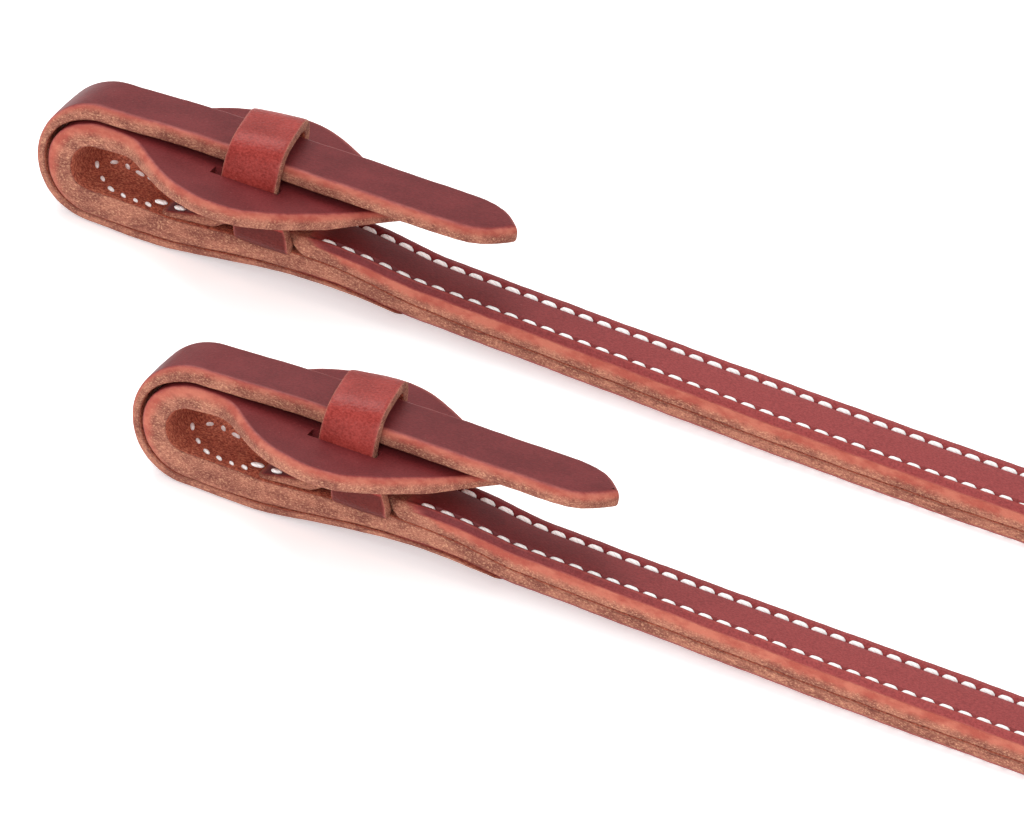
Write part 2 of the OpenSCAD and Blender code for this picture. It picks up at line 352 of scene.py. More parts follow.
class Signal:
    """A shader value: arithmetic on it adds Math nodes to its shader."""

    def __init__(self, shader, socket):
        self.shader, self.socket = shader, socket

    def math(self, operation, a, b, clamp=False):
        settings = {"operation": operation, "use_clamp": clamp}
        return self.shader.node("ShaderNodeMath", settings, {0: a, 1: b})

    def __add__(self, other):
        return self.math("ADD", self, other)

    def __sub__(self, other):
        return self.math("SUBTRACT", self, other)

    def __mul__(self, other):
        return self.math("MULTIPLY", self, other)

    def __rsub__(self, other):
        return self.math("SUBTRACT", other, self)

    __radd__ = __add__
    __rmul__ = __mul__

    def clamp(self):
        return self.math("ADD", self, 0.0, clamp=True)

    def ramp(self, low, high):
        """0 below low, 1 above high, and a soft rise between them."""
        inputs = {"Value": self, "From Min": low, "From Max": high}
        return self.shader.node("ShaderNodeMapRange", {"interpolation_type": "SMOOTHSTEP"}, inputs)


def make_node(tree, kind, settings, inputs):
    """Adds a node to a tree: its settings first, and then a value or a link for its inputs."""
    node = tree.nodes.new(kind)
    for key, value in settings.items():
        setattr(node, key, value)
    for key, value in inputs.items():
        if isinstance(value, bpy.types.NodeSocket):
            tree.links.new(value, node.inputs[key])
        else:
            node.inputs[key].default_value = value
    return node


class Shader:
    """A material being built: one Principled surface, and the nodes that feed it."""

    def __init__(self, name):
        self.material = bpy.data.materials.new(name)
        self.material.use_nodes = True
        self.tree = self.material.node_tree
        self.surface = self.tree.nodes["Principled BSDF"]
        self.spot = self.node("ShaderNodeTexCoord", {}, {}, "Object")

    def node(self, kind, settings, inputs, output=0):
        """Adds a node and gives one of its outputs."""
        inputs = {k: v.socket if isinstance(v, Signal) else v for k, v in inputs.items()}
        return Signal(self, make_node(self.tree, kind, settings, inputs).outputs[output])

    def noise(self, size_mm, detail=3.0, rough=0.55, spot=None):
        """Noise from 0 to 1 whose blotches are about size_mm across."""
        return self.node("ShaderNodeTexNoise", {}, {"Vector": spot or self.spot, "Scale": 1 / (
            size_mm * MM), "Detail": detail, "Roughness": rough}, "Fac")

    def cells(self, size_mm, feature="F1"):
        """Distance to the nearest of scattered points, about size_mm apart."""
        return self.node("ShaderNodeTexVoronoi", {"feature": feature},
                         {"Vector": self.spot, "Scale": 1 / (size_mm * MM)}, "Distance")

    def stretched(self, x, y, z):
        """The object's own coordinates, stretched along each axis."""
        return self.node("ShaderNodeMapping", {}, {"Vector": self.spot, "Scale": (x, y, z)})

    def attribute(self, name):
        return self.node("ShaderNodeAttribute", {"attribute_name": name}, {}, "Fac")

    def mix(self, factor, a, b):
        """Colour a where factor is 0 and b where it is 1."""
        a, b = [c if isinstance(c, Signal) else (*c, 1) for c in (a, b)]
        return self.node("ShaderNodeMix", {"data_type": "RGBA"}, {0: factor, 6: a, 7: b}, 2)

    def bump(self, height, depth_mm, strength):
        inputs = {"Height": height, "Distance": depth_mm * MM, "Strength": strength}
        return self.node("ShaderNodeBump", {}, inputs, "Normal")

    def finish(self, **feeds):
        """Feeds the surface; a feed's name is its socket's, with _ for a space."""
        for key, value in feeds.items():
            socket = self.surface.inputs[key.replace("_", " ")]
            if isinstance(value, Signal):
                self.tree.links.new(value.socket, socket)
            else:
                socket.default_value = value
        return self.material


# Colours of the leather, from dark to light where there are two
STRAP_WORN = ((0.235, 0.034, 0.034), (0.37, 0.062, 0.06))
PALE_SPECK = (0.55, 0.25, 0.2)
# Painted shade: the dark put in the awl holes and on the keeper's band under the leaf
PAINTED_SHADE = (0.035, 0.006, 0.005)
# The bevel's warm red: partly its own colour, partly a painted highlight
BEVEL_RED_AND_HIGHLIGHT = ((0.33, 0.062, 0.052), (0.48, 0.125, 0.1))
EDGE_DYED = ((0.43, 0.095, 0.068), (0.56, 0.17, 0.115))
EDGE_PLAIN = ((0.25, 0.082, 0.06), (0.44, 0.17, 0.115))
EDGE_STRAW = (0.74, 0.4, 0.24)
EDGE_BROWN = (0.13, 0.045, 0.034)
EDGE_FUZZ = (0.72, 0.36, 0.22)
# Painted shade for the crevice where one ply's edge meets the next
EDGE_CREVICE_SHADE = (0.05, 0.016, 0.012)
SUEDE = ((0.2, 0.04, 0.028), (0.56, 0.155, 0.09))
SUEDE_FUZZ = (0.72, 0.34, 0.19)


def leather(name, grain_dark, grain_light, pebble_mm, pebble_depth, gloss):
    """Dyed, oiled bridle leather: a dark satin grain, a burnished bevel, fibrous cut edges, and a
    rough flesh side. The strap's own attributes say where each of them is."""
    sh = Shader(name)
    edge, depth = sh.attribute("edge"), sh.attribute("depth")
    groove, painted_edge_light = sh.attribute("groove"), sh.attribute("painted_edge_light")
    ragged = sh.noise(0.9, 4, 0.6) - 0.5
    on_edge = (edge + ragged * 0.4).ramp(0.5, 0.95)
    on_bevel = (edge + ragged * 0.2).ramp(0.12, 0.85)
    on_flesh = (depth + ragged * 0.12).ramp(0.9, 0.97) * (1 - on_edge)
    # Grain: even dye with fine mottling, a paler strap and pale specks
    cloud = sh.noise(7, 3, 0.5)
    fine = sh.noise(0.36, 4, 0.75, sh.stretched(0.7, 1.0, 1.0))
    grain = sh.mix((cloud * 0.35 + fine * 0.7).ramp(0.36, 0.68), grain_dark, grain_light)
    worn = sh.attribute("along").ramp(62, 150) * 0.85
    grain = sh.mix(worn, grain, sh.mix(fine.ramp(0.35, 0.65), *STRAP_WORN))
    speck = sh.cells(1.3).ramp(0.12, 0.05) * sh.noise(4, 2).ramp(0.52, 0.62)
    grain = sh.mix(speck * 0.22, grain, PALE_SPECK)
    # Painted shade: darkened in the awl holes and on the keeper's band under the leaf
    grain = sh.mix(groove.ramp(0.45, 1.1) * 0.9, grain, PAINTED_SHADE)
    # Burnished bevel: the grain's dye thins out over it to a warm red, painted lighter as a painted
    # highlight along the bevel
    streak = sh.noise(1.2, 4, 0.65, sh.stretched(0.35, 1.0, 1.0))
    bevel = sh.mix(streak.ramp(0.35, 0.7), *BEVEL_RED_AND_HIGHLIGHT)
    colour = sh.mix(on_bevel, grain, bevel)
    # Cut edge: red-orange under the grain, then matted fibres from dark brown to straw; painted
    # shade turns more of it to the plainer, darker browns where the edge faces down or lies in shade
    fibre = sh.noise(0.27, 5, 0.78, sh.stretched(0.55, 1.0, 1.0))
    coarse = sh.noise(2.6, 3, 0.6, sh.stretched(0.5, 1.0, 1.0))
    dyed = sh.mix(coarse.ramp(0.35, 0.65), *EDGE_DYED)
    plain = sh.mix(coarse.ramp(0.36, 0.64), *EDGE_PLAIN)
    plain = sh.mix(fibre.ramp(0.5, 0.66) * 0.8, plain, EDGE_STRAW)
    plain = sh.mix(fibre.ramp(0.48, 0.32), plain, EDGE_BROWN)
    deep = (depth + ragged * 0.35 + (1 - painted_edge_light) * 0.6).ramp(0.2, 0.62)
    raw = sh.mix(deep + (1 - deep) * (1 - painted_edge_light), dyed, plain)
    raw = sh.mix(fibre.ramp(0.56, 0.7) * 0.35, raw, EDGE_FUZZ)
    # Painted shade: a broken dark line along the flesh side of the cut edge, in the crevice where
    # the plies meet
    crevice_shade = (depth + ragged * 0.1).ramp(0.93, 1.0) * coarse.ramp(0.3, 0.5)
    raw = sh.mix(crevice_shade * 0.8, raw, EDGE_CREVICE_SHADE)
    colour = sh.mix(on_edge, colour, raw)
    # Flesh side: brushed suede
    nap = sh.noise(0.5, 5, 0.75)
    flesh = sh.mix(nap.ramp(0.36, 0.58), *SUEDE)
    flesh = sh.mix(nap.ramp(0.55, 0.7), flesh, SUEDE_FUZZ)
    colour = sh.mix(on_flesh, colour, flesh)
    rough_side = (on_edge + on_flesh).clamp()
    pebble = sh.cells(pebble_mm, "SMOOTH_F1")
    height = pebble * pebble_depth + sh.noise(0.25, 3, 0.6) * 0.02
    height = height * (1 - rough_side) + (fibre * 0.2 + nap * 0.12) * rough_side
    rough = (fine * 0.16 + gloss) * (1 - rough_side) + 0.85 * rough_side
    return sh.finish(Base_Color=colour, Roughness=rough, Normal=sh.bump(height, 1.0, 0.9),
                     Specular_IOR_Level=0.16)


strap_leather = leather("strap_leather", (0.115, 0.013, 0.015), (0.19, 0.027, 0.029), 0.5,
                        0.03, 0.36)


def stitch_hole(s):
    """1 where the thread dives into the leather between two stitches, and 0 along a stitch."""
    phase = np.abs((s - FIRST_STITCH + STITCH_PITCH / 2) / STITCH_PITCH % 1 - 0.5) * 2
    return np.clip(phase * 2.2 - 1.2, 0, 1)


def stations(start, fine_to, end, fine, coarse):
    """Lengths along a strap: close together where it is seen, wider apart in the coil."""
    near_part = start + np.arange(int((fine_to - start) / fine) + 1) * fine
    far_part = np.arange(near_part[-1] + coarse, end - 0.6 * coarse, coarse)
    return np.concatenate([near_part, far_part, [end]])


def cut_end(outline_s):
    """Outline of a strap whose far end is cut square with small round corners."""
    last = outline_s[-1]
    half = float(half_width(last))
    body = [(s, float(half_width(s))) for s in outline_s if s < last - END_CORNER - 0.3]
    arc = [(last - END_CORNER + END_CORNER * math.sin(a),
            half - END_CORNER + END_CORNER * math.cos(a))
           for a in np.linspace(0, math.pi / 2, 5)]
    return np.array(body + arc + [(last, half * 0.5), (last, 0)])


seams = {rein: seam_path(rein) for rein in REINS}
FINE_TO = {"near": 215.0, "far": 225.0}
SEED = {"near": 3.0, "far": 7.4}
GRAIN_OF = {"top": TOP_T, "bottom": BOTTOM_T}
GROOVE_OF = {"top": 1.0, "bottom": 0.6}
BEVEL_OF = {"top": 1.0, "bottom": 0.45}
# How brightly each ply's cut edge is painted as lit: the bottom ply's, facing down, is painted in
# shade
PAINTED_EDGE_LIGHT_OF = {"top": 1.35, "bottom": 0.3}
SEAM_DROP = 0.9
SEAM_DROPS_FROM = 64
SEAM_DROPS_OVER = 26
END_CORNER = 1.2
COIL_STATION = 4.0
# Half width of the sewn strap: [length along, half width]
STRAP_HALF = [(62, 8.0), (84, 7.55), (112, 7.6), (155, 8.25)]


def half_width(s):
    """The strap draws in a little behind the bit end and is widest from there on."""
    return np.interp(s, *np.array(STRAP_HALF).T)


def seam_drop(s):
    """Behind the bit end the bottom ply is skived thinner, and the top ply fills its place."""
    return SEAM_DROP * np.clip((s - SEAM_DROPS_FROM) / SEAM_DROPS_OVER, 0, 1)


def exit_s(rein):
    """Length along the seam at which the bit end becomes the free strap."""
    seam = seams[rein]
    flat = seam.points[:, 0] < BIT_LEN + 5
    return float(np.interp(BIT_LEN, seam.points[flat, 0], seam.length[flat]))


def flipped(path):
    """The same line with its outward side turned over."""
    return Path(path.points, path.wide, -path.out, path.length[0])


# The pieces of the free straps: [rein, part]
for rein in REINS:
    seam = seams[rein]
    begin, end, step = exit_s(rein), seam.length[-1], STITCH_PITCH / 6
    first_row = FIRST_STITCH + math.ceil((begin - FIRST_STITCH) / step + 0.2) * step
    rows = stations(first_row, FINE_TO[rein], end, step, COIL_STATION)
    outline = cut_end(np.concatenate([[begin], rows]))
    for ply, path, lower in (("top", seam, -1), ("bottom", flipped(seam), 1)):
        name = f"{rein}_{ply}_strap_sewn"
        mesh = strap_mesh(
            name, rein, path, outline, steady(GRAIN_OF[ply]),
            flesh=lambda s: lower * seam_drop(s), groove=steady(GROOVE_OF[ply]),
            hole=lambda s: stitch_hole(s) * (s < FINE_TO[rein]), bevel=steady(BEVEL_OF[ply]),
            painted_edge_light=steady(PAINTED_EDGE_LIGHT_OF[ply]), row_side=FRONT_OF[rein], open_ends=(1, 0),
            seed=SEED[rein] + GRAIN_OF[ply])
        solids = [f"{rein}_{ply}_strap"] + ([f"{rein}_coil"] if ply == "bottom" else [])
        add_piece(name, mesh, strap_leather, f"{rein}_rein", solids)

# ---------------------------------------------------------------- bottom ply and leaf
# The bottom ply turns back round the bit as a wide leaf with two slits for the keeper. It is one
# piece of strap leather, skived thin at the leaf's point and sewn to the strap behind.
WATER_SKIVE = [(13, 1.4), (30, 1.4), (36, 1.2), (42, 0.9), (48, 0.6), (54, 0.4), (60, 0.2),
               (66, 0)]
EYE_R = 5.3
PLY_BEND = (12.65, 12.1)
LEAF_HALF_W = 22.8
# Leaf: [distance, half width as a share of the greatest], from its point back to the bend
LEAF_PLAN = [(73.6, 0.04), (71.5, 0.12), (68, 0.27), (64, 0.45), (60, 0.61), (56, 0.76),
             (52, 0.88), (48, 0.97), (44, 1), (40, 0.99), (36, 0.94), (32, 0.86), (28, 0.74),
             (24, 0.57), (20, 0.4), (17, 0.35), (12.65, 0.35)]
LEAF_SKIVE = 62.0
LEAF_THINNED = 1.5
SLIT_X = (36.8, 51.0)
SLIT_Y = (7.9, 11.0)
EYE_SWELL = 1.3
EYE_SWELL_REACH = 13
FLOOR_SWELL = 0.5
EYE_CURL = 2.2
BEND_THINNED = 0.3
STITCHES_IN_LOOP = 11


def soft_step(s, a, b):
    t = np.clip((s - a) / (b - a), 0, 1)
    return t * t * (3 - 2 * t)


def filling(turned, x):
    """How much thinner the water strap is than at the billet, after so many degrees of its bend
    and then along the strap; the bottom ply fills the place."""
    return np.where(turned < 180, WATER_SKIVE[0][1] * soft_step(turned, 15, 85),
                    np.interp(x, *np.array(WATER_SKIVE).T))


def bent_back(reach, centre, radius, run, step=0.6):
    """A line that comes back along the top from reach, round a bend, and on along run below."""
    top = np.arange(reach, centre[0], -step)
    turn = np.radians(np.linspace(90, 270, 49))
    xs = np.concatenate([top, centre[0] + radius * np.cos(turn)])
    zs = np.concatenate([top * 0 + centre[1] + radius, centre[1] + radius * np.sin(turn)])
    outs = np.concatenate([np.tile((0, 0, 1.0), (len(top), 1)),
                           np.stack([np.cos(turn), turn * 0, np.sin(turn)], -1)])
    points = np.vstack([np.stack([xs, xs * 0, zs], -1), run.points[1:]])
    outs = np.vstack([outs, run.out[1:]])
    wide = np.vstack([np.tile((0, 1.0, 0), (len(xs), 1)), run.wide[1:]])
    added = np.linalg.norm(np.diff(points[:len(xs) + 1], axis=0), axis=1).sum()
    return Path(points, wide, outs, run.length[1] - added)


def evaluated_mesh(holder, name):
    """What an object's modifiers make of its mesh, as a plain mesh."""
    bpy.context.view_layer.update()
    mesh = bpy.data.meshes.new_from_object(
        holder.evaluated_get(bpy.context.evaluated_depsgraph_get()))
    mesh.name = name
    return mesh


def cut(piece, boxes):
    """Cuts boxes, each its lowest and highest corner, out of a piece."""
    tool_mesh = bpy.data.meshes.new("cutter")
    work = bmesh.new()
    for low, high in boxes:
        middle, size = (low + high) / 2, high - low
        bmesh.ops.create_cube(work, size=1, matrix=Matrix.Translation(middle) @ Matrix.Diagonal(
            (*size, 1)))
    work.to_mesh(tool_mesh)
    work.free()
    write_facts(tool_mesh, {k: [v] * len(tool_mesh.vertices) for k, v in CUT_FACTS.items()})
    tool = new_object("cutter", tool_mesh)
    cutter = piece.modifiers.new("cut", "BOOLEAN")
    cutter.object, cutter.solver = tool, "EXACT"
    result = evaluated_mesh(piece, piece.name)
    piece.modifiers.remove(cutter)
    piece.data = result
    bpy.data.objects.remove(tool)


leaf_line = smooth_line([(x, w * LEAF_HALF_W) for x, w in LEAF_PLAN], 1.0)[:, :2]
for rein in REINS:
    path = bent_back(LEAF_PLAN[0][0], PLY_BEND, EYE_R, flipped(seams[rein]))
    tip = path.length[0]
    leaf_end = tip + LEAF_PLAN[0][0] - PLY_BEND[0]
    leaf_rows = [(tip + LEAF_PLAN[0][0] - x, w) for x, w in leaf_line if w > 1.2]
    bend_rows = np.arange(leaf_end + 0.7, SEAM[0][0], 0.7)
    first_row = FIRST_STITCH - STITCHES_IN_LOOP * STITCH_PITCH
    sewn_rows = np.arange(first_row, exit_s(rein) - 0.3, STITCH_PITCH / 6)
    outline = np.array([(tip, 0), (tip, 0.45), (tip + 0.15, 0.85), *leaf_rows]
                       + [(s, half_width(s)) for s in (*bend_rows, *sewn_rows, exit_s(rein))])
    name = f"{rein}_loop_and_leaf"
    thinned = lambda s: LEAF_THINNED * np.clip(1 - (s - tip) / (LEAF_PLAN[0][0] - LEAF_SKIVE),
                                               0, 1)
    swollen = lambda s: EYE_SWELL * np.clip(
        1 - np.abs(s - leaf_end) / EYE_SWELL_REACH, 0, 1) ** 0.8
    swollen_low = lambda s: FLOOR_SWELL * soft_step(s, 6, 14) * (1 - soft_step(s, 22, 30))
    on_run = lambda s: soft_step(s, 4, 14)
    turned = lambda s: 180 * (s - leaf_end) / (SEAM[0][0] - leaf_end)
    in_bend = lambda s: soft_step(s, leaf_end, leaf_end + 8) * (1 - soft_step(s, 10, 16))
    # Along the lower run the bottom ply's cut edge is painted in shade
    mesh = strap_mesh(
        name, rein, path, outline,
        lambda s: BOTTOM_T + filling(turned(s), s) - BEND_THINNED * in_bend(s),
        flesh=lambda s: thinned(s) - swollen(s) - swollen_low(s) + seam_drop(s),
        curl=lambda s: EYE_CURL * soft_step(s, 1, 8) * (1 - soft_step(s, 24, 34)),
        curl_side=-FRONT_OF[rein], row_side=FRONT_OF[rein],
        bevel=lambda s: 1 + (BEVEL_OF["bottom"] - 1) * on_run(s),
        painted_edge_light=lambda s: 1 + (PAINTED_EDGE_LIGHT_OF["bottom"] - 1) * on_run(s),
        groove=lambda s: GROOVE_OF["bottom"] * np.clip((s - FIRST_STITCH + 6) / 4, 0, 1),
        hole=lambda s: stitch_hole(s) * (s > FIRST_STITCH - 2),
        open_ends=(0, 1), seed=SEED[rein] + BOTTOM_T)
    piece = add_piece(name, mesh, strap_leather, None, [f"{rein}_bottom_ply", f"{rein}_leaf"])
    cut(piece, [(Vector(np.minimum(a, b)), Vector(np.maximum(a, b))) for a, b in [
        place(rein, [(SLIT_X[0], side * SLIT_Y[0], PLY_BEND[1] + 3),
                     (SLIT_X[1], side * SLIT_Y[1], PLY_BEND[1] + 12)]) for side in (-1, 1)]])
    place_one(rein, 0, 0, 9.5)
    place_one(rein, 0, 0, 17)
    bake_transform(piece)

# ---------------------------------------------------------------- water strap and billet
# A lighter strap wraps the loop. Below it is skived away to nothing between the ply and the floor;
# above it runs on as the billet, through the keeper, to a bevelled English point.
WATER_BEND = (12.65, 12.65)
WATER_R = 9.35
BEND_DIP = 0.85
BILLET_REACH = 96.0
BILLET_SPLIT = 48.5
# Lower run: [distance, underside of the ply above it, thickness left]
WATER_RUN = [(13, 3.3, 3.3), (24, 3.3, 3.3), (30, 3.5, 3.2), (36, 4, 2.9), (42, 4.5, 2.5),
             (48, 4.9, 2.1), (54, 5.1, 1.7), (60, 5, 1.3), (66, 4.7, 1), (72, 4.1, 0.7),
             (79, 3.2, 0.25)]
# Half widths of the billet from its point back to the bend, and then round the bend and below:
# [distance, half width]
BILLET_PLAN = [(96, 0.3), (95.7, 0.9), (94.9, 2.0), (93.2, 4.0), (91.2, 5.7), (88.8, 6.8),
               (86, 7.3), (82, 7.4), (58, 7.4), (44, 7.1), (30, 6.95), (12.65, 6.9)]
WATER_HALF = [(0, 6.9), (13, 7.2), (30, 8.0), (60, 7.9)]
SPLIT_HALF = 7.15
billet_line = np.array(BILLET_PLAN)
billet_xs = np.concatenate([[96, 95.85, 95.6], np.arange(95.2, 81, -0.8), np.arange(80, 12, -1.6)])
billet_half = np.interp(billet_xs, billet_line[::-1, 0], billet_line[::-1, 1])
run_x, run_z, run_left = np.array(WATER_RUN).T
run_line = smooth_line(np.stack([run_x, run_x * 0, run_z], -1), 1.0)
across = np.tile((0, 1.0, 0), (len(run_line), 1))
run = Path(run_line, across, unit(np.cross(across, unit(np.gradient(run_line, axis=0)))), run_x[0])
for rein in REINS:
    path = bent_back(BILLET_REACH, WATER_BEND, WATER_R, run)
    bowed = path.points[:, 2] > WATER_BEND[1] - WATER_R + 0.1
    path.points[bowed, 2] -= BEND_DIP * (1 - soft_step(path.points[bowed, 0], 12, 34)) * (
        0.5 + 0.5 * path.out[bowed, 2])
    tip = path.length[0]
    split = tip + BILLET_REACH - BILLET_SPLIT
    top_rows = np.stack([tip + BILLET_REACH - billet_xs, billet_half], -1)
    run_rows = np.arange(top_rows[-1, 0] + 0.8, path.length[-1] - 1.3, 0.8)
    lower_rows = np.stack([run_rows, np.interp(run_rows, *np.array(WATER_HALF).T)], -1)
    last = path.length[-1]
    end_rows = [(last - 0.6, 7.4), (last - 0.1, 6.4), (last, 3.5), (last, 0)]
    run_s = last - run.length[-1] + np.interp(run_x, run.points[:, 0], run.length)
    thick = lambda s: np.interp(s, run_s, run_left)
    name = f"{rein}_water_loop"
    outline = np.vstack([[(split, SPLIT_HALF)], top_rows[top_rows[:, 0] > split + 0.4],
                         lower_rows, end_rows])
    left_side = tip + BILLET_REACH - WATER_BEND[0] + WATER_R * math.pi / 2
    turned = lambda s: 90 + (s - left_side) / WATER_R * 180 / math.pi
    # Round the bend and along the lower run, under the ply, the cut edge is painted in shade
    mesh = strap_mesh(
        name, rein, path, outline, thick, open_ends=(1, 0), seed=SEED[rein] + 1,
        flesh=lambda s: filling(turned(s), np.interp(s, run_s, run_x)),
        painted_edge_light=lambda s: 0.85 - 0.5 * soft_step(s, left_side, left_side + 15))
    piece = add_piece(name, mesh, strap_leather, None,
                      [f"{rein}_water_strap", f"{rein}_billet"])
    place_one(rein, 0, 0, 7.5)
    place_one(rein, 0, 0, 18.5)
    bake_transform(piece)
    name = f"{rein}_billet_end"
    outline = np.vstack([[(tip, 0)], top_rows[top_rows[:, 0] < split - 0.4],
                         [(split, SPLIT_HALF)]])
    mesh = strap_mesh(name, rein, path, outline, thick, open_ends=(0, 1), seed=SEED[rein] + 1)
    piece = add_piece(name, mesh, strap_leather, None, [f"{rein}_billet_tip"])
    place_one(rein, 54, 0, 24)
    place_one(rein, 64, 0, 24)
    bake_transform(piece)

# ---------------------------------------------------------------- top ply
# The top ply starts as a thin tongue inside the loop, steps up over the keeper's base, and from
# there is full thickness, with a raw, rounded nose. Two rows of stitches sew it down.
TONGUE_START = 27.0
TONGUE_HALF = 7.2
TONGUE_T = 1.9
NOSE_X = 54.6
OVER_KEEPER = 1.7
# Lengths over which the ply steps up on to the keeper's base and down behind it
STEP_UP = (37.5, 42)
STEP_DOWN = (53.8, 57.5)
# The tongue's cut edge, inside the loop under the leaf, is painted in shade
TONGUE_PAINTED_EDGE_LIGHT = 0.25

for rein in REINS:
    start = TONGUE_START
    tongue_rows = np.arange(start + 1.2, NOSE_X - 2, 0.9)
    nose_rows = np.arange(NOSE_X - 1.6, NOSE_X + 3, 0.25)
    sewn_rows = np.arange(FIRST_STITCH + STITCH_PITCH / 6, exit_s(rein) - 0.3, STITCH_PITCH / 6)
    widens = lambda s: soft_step(s, NOSE_X - 0.8, NOSE_X + 1.2)
    half = lambda s: TONGUE_HALF + (half_width(s) - TONGUE_HALF) * widens(s)
    outline = np.array([(start, 0), (start, 5.4), (start + 0.25, 6.4), (start + 0.7, 7.0)]
                       + [(s, half(s)) for s in (*tongue_rows, *nose_rows, *sewn_rows,
                                                 exit_s(rein))])
    lift = lambda s: OVER_KEEPER * soft_step(s, *STEP_UP) * (1 - soft_step(s, *STEP_DOWN))
    nose = lambda s: soft_step(s, NOSE_X - 0.9, NOSE_X + 0.9)
    tongue_t = lambda s: lift(s) + TONGUE_T * (0.4 + 0.6 * soft_step(s, start, start + 9))
    sewn_t = lambda s: TOP_T - 0.5 * (1 - soft_step(s, NOSE_X, NOSE_X + 4))
    name = f"{rein}_upper_ply"
    mesh = strap_mesh(
        name, rein, seams[rein], outline,
        lambda s: tongue_t(s) * (1 - nose(s)) + nose(s) * sewn_t(s),
        flesh=lambda s: lift(s) - seam_drop(s),
        groove=lambda s: np.clip((s - FIRST_STITCH + 3) / 2.5, 0, 1),
        hole=lambda s: stitch_hole(s) * (s > FIRST_STITCH - 2.2),
        raw_end=lambda s: np.clip(1.5 - np.abs(s - NOSE_X - 1.0) / 2.2, 0, 1),
        painted_edge_light=lambda s: TONGUE_PAINTED_EDGE_LIGHT + (PAINTED_EDGE_LIGHT_OF["top"] - TONGUE_PAINTED_EDGE_LIGHT) * soft_step(
            s, NOSE_X + 2, NOSE_X + 12),
        row_side=FRONT_OF[rein], open_ends=(0, 1), seed=SEED[rein] + TOP_T)
    add_piece(name, mesh, strap_leather, f"{rein}_rein", [f"{rein}_top_ply"])

# ---------------------------------------------------------------- keeper
# The keeper is a thin band of brighter leather. It goes through both slits of the leaf, under it,
# and arches over the billet; it leans back and sits a little askew.
KEEPER_T = 2.5
KEEPER_GAPE = 0.125
KEEPER_LEN = 11.4
KEEPER_HALF = 8.4
KEEPER_BASE = 10.3
KEEPER_TOP = 26.55
KEEPER_WAIST = 17.0
KEEPER_CORNER = 1.2
# How square the arch is: 2 is an ellipse
KEEPER_ARCH = 4.2
# Below this height the band is painted dark, as painted shade under the leaf
KEEPER_SHADE = 13.5
# Where the band's left edge stands: [height, distance]
KEEPER_LEAN = [(11, 42.2), (20.5, 37.8)]
KEEPER_SKEW = 0.14
# Band cross-section: (inset from the edge, up from the flesh, down from the grain, edge)
BAND_DOME = 0.12
BAND_PROFILE = [(MIDDLE, 0, None, 0), (0.35, 0, None, 0.3), (0.08, 0.14, None, 1), (0, 0.4, None, 1),
                (0, None, 0.5, 1), (0.1, None, 0.2, 0.85), (0.32, None, 0.05, 0.45),
                (0.8, None, 0, 0.1), (2.2, None, 0, 0), (MIDDLE, None, 0, 0)]


def band_mesh(name, rein, centre, across, out, half, thickness, gape=0.0, raw=1.0,
              shade_below=-1.0):
    """A band of leather whose flesh side follows centre, across and out being its directions.
    gape tilts its upper half open, and raw is how fibrous its cut edges are."""
    columns = [(1, p) for p in BAND_PROFILE] + [(-1, p) for p in BAND_PROFILE[-2:0:-1]]
    coords = np.zeros((len(centre), len(columns), 3))
    facts = {k: np.zeros((len(centre), len(columns))) for k in ("edge", "depth", "groove")}
    for c, (side, (inset, rise, drop, edge)) in enumerate(columns):
        w = side * max(0.0, half - inset)
        level = rise if drop is None else thickness - drop
        dome = BAND_DOME * (1 - (w / half) ** 2) if drop is not None else 0
        coords[:, c] = centre + across * w + out * (level + dome)
        coords[:, c, 2] += gape * w * np.clip((centre[:, 2] - KEEPER_WAIST) / 9, 0, 1)
        facts["edge"][:, c] = edge * raw
        facts["depth"][:, c] = 1 - level / thickness
        # Painted shade: below shade_below the band takes the dark painted shade colour
        facts["groove"][:, c] = 0.9 * (centre[:, 2] < shade_below)
    return wrapped_mesh(name, rein, coords, facts, is_ring=True)


def keeper_line():
    """The keeper's inner outline across the rein, from one side of its base up and over."""
    turn = np.linspace(0, math.pi, 96)
    power = 2 / KEEPER_ARCH
    y = KEEPER_HALF * np.sign(np.cos(turn)) * np.abs(np.cos(turn)) ** power
    z = KEEPER_WAIST + (KEEPER_TOP - KEEPER_WAIST) * np.sin(turn) ** power
    corner = KEEPER_CORNER
    down = np.radians(np.linspace(0, 90, 7))
    right_y = KEEPER_HALF - corner + corner * np.cos(down)
    right_z = KEEPER_BASE + corner - corner * np.sin(down)
    rise = np.linspace(KEEPER_BASE + corner + 0.8, KEEPER_WAIST - 0.6, 9)
    base = np.linspace(KEEPER_HALF - corner - 1, 1 - KEEPER_HALF + corner, 12)
    ys = [-right_y[::-1], rise * 0 - KEEPER_HALF, y[::-1], rise * 0 + KEEPER_HALF, right_y, base]
    zs = [right_z[::-1], rise, z[::-1], rise[::-1], right_z, base * 0 + KEEPER_BASE]
    return np.stack([np.concatenate(ys), np.concatenate(zs)], -1)


def ring_tangent(line):
    """The direction along each point of a closed line."""
    return unit(np.roll(line, -1, 0) - np.roll(line, 1, 0))


